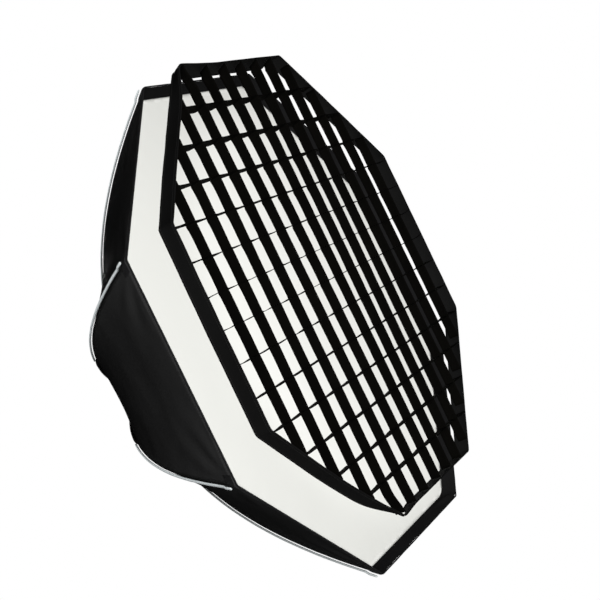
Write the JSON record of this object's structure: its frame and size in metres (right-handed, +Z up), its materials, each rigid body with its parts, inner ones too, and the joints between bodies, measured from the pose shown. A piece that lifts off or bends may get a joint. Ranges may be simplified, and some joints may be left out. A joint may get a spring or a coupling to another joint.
{
  "type": "octagonal softbox with grid",
  "caption": "Octagonal fabric softbox on a bayonet speedring, with bowed rods in its seams, two white diffusers and a removable black cell grid held in front.",
  "frame": {"origin": "centre of the adapter's rear face, where the lamp head goes on", "axes": "light leaves along -Y, +Z up with the grid lifted towards it, +X to the right seen from the front"},
  "size_m": [1.113, 0.6201, 1.113],
  "materials": {
    "black_nylon": "matte coated nylon, silver on the inside",
    "grey_piping": "woven light grey piping",
    "white_cloth": "translucent white diffusion nylon",
    "grid_cloth": "matte black woven strip",
    "patch": "black reinforcement webbing and hook-and-loop",
    "elastic": "white knitted elastic",
    "spring_steel": "bright spring steel",
    "ring_metal": "satin cast aluminium",
    "zinc": "zinc plated",
    "knob": "black moulded plastic"
  },
  "bodies": {
    "adapter": {"bayonet_adapter": "ring_metal"},
    "softbox": {"speedring_body": "ring_metal", "retainer_ring": "ring_metal", "retainer_screw_1": "zinc", "retainer_screw_2": "zinc", "retainer_screw_3": "zinc", "rod_1": "spring_steel", "rod_2": "spring_steel", "rod_3": "spring_steel", "rod_4": "spring_steel", "rod_5": "spring_steel", "rod_6": "spring_steel", "rod_7": "spring_steel", "rod_8": "spring_steel", "shell_panel_1": "black_nylon", "shell_panel_2": "black_nylon", "shell_panel_3": "black_nylon", "shell_panel_4": "black_nylon", "shell_panel_5": "black_nylon", "shell_panel_6": "black_nylon", "shell_panel_7": "black_nylon", "shell_panel_8": "black_nylon", "seam_piping_1": "grey_piping", "seam_piping_2": "grey_piping", "seam_piping_3": "grey_piping", "seam_piping_4": "grey_piping", "seam_piping_5": "grey_piping", "seam_piping_6": "grey_piping", "seam_piping_7": "grey_piping", "seam_piping_8": "grey_piping", "corner_pocket_1": "patch", "corner_pocket_2": "patch", "corner_pocket_3": "patch", "corner_pocket_4": "patch", "corner_pocket_5": "patch", "corner_pocket_6": "patch", "corner_pocket_7": "patch", "corner_pocket_8": "patch", "rear_collar": "patch", "front_lip": "black_nylon", "rim_binding": "patch", "loop_band": "patch", "inner_diffuser": "white_cloth", "baffle_strap_1": "elastic", "baffle_strap_2": "elastic", "baffle_strap_3": "elastic", "baffle_strap_4": "elastic", "baffle_strap_5": "elastic", "baffle_strap_6": "elastic", "baffle_strap_7": "elastic", "baffle_strap_8": "elastic"},
    "lock_screw": {"turn_lock_screw": "knob"},
    "diffuser": {"front_diffuser": "white_cloth"},
    "grid": {"grid_frame": "grid_cloth", "grid_lattice": "grid_cloth"}
  },
  "joints": [
    {"name": "box_turn", "type": "hinge", "parent": "adapter", "child": "softbox", "pos_m": [0, -0.02, 0], "axis": [0, 1, 0], "continuous": true},
    {"name": "lock_screw_turn", "type": "hinge", "parent": "softbox", "child": "lock_screw", "pos_m": [0, -0.017, -0.11], "axis": [0, 0, -1], "range_deg": [-360, 0]},
    {"name": "diffuser_pull", "type": "slide", "parent": "softbox", "child": "diffuser", "axis": [0, -1, 0], "range_m": [0, 0.25]},
    {"name": "grid_pull", "type": "slide", "parent": "diffuser", "child": "grid", "axis": [0, -0.8376, 0.5463], "range_m": [-0.0824, 0.2]}
  ]
}
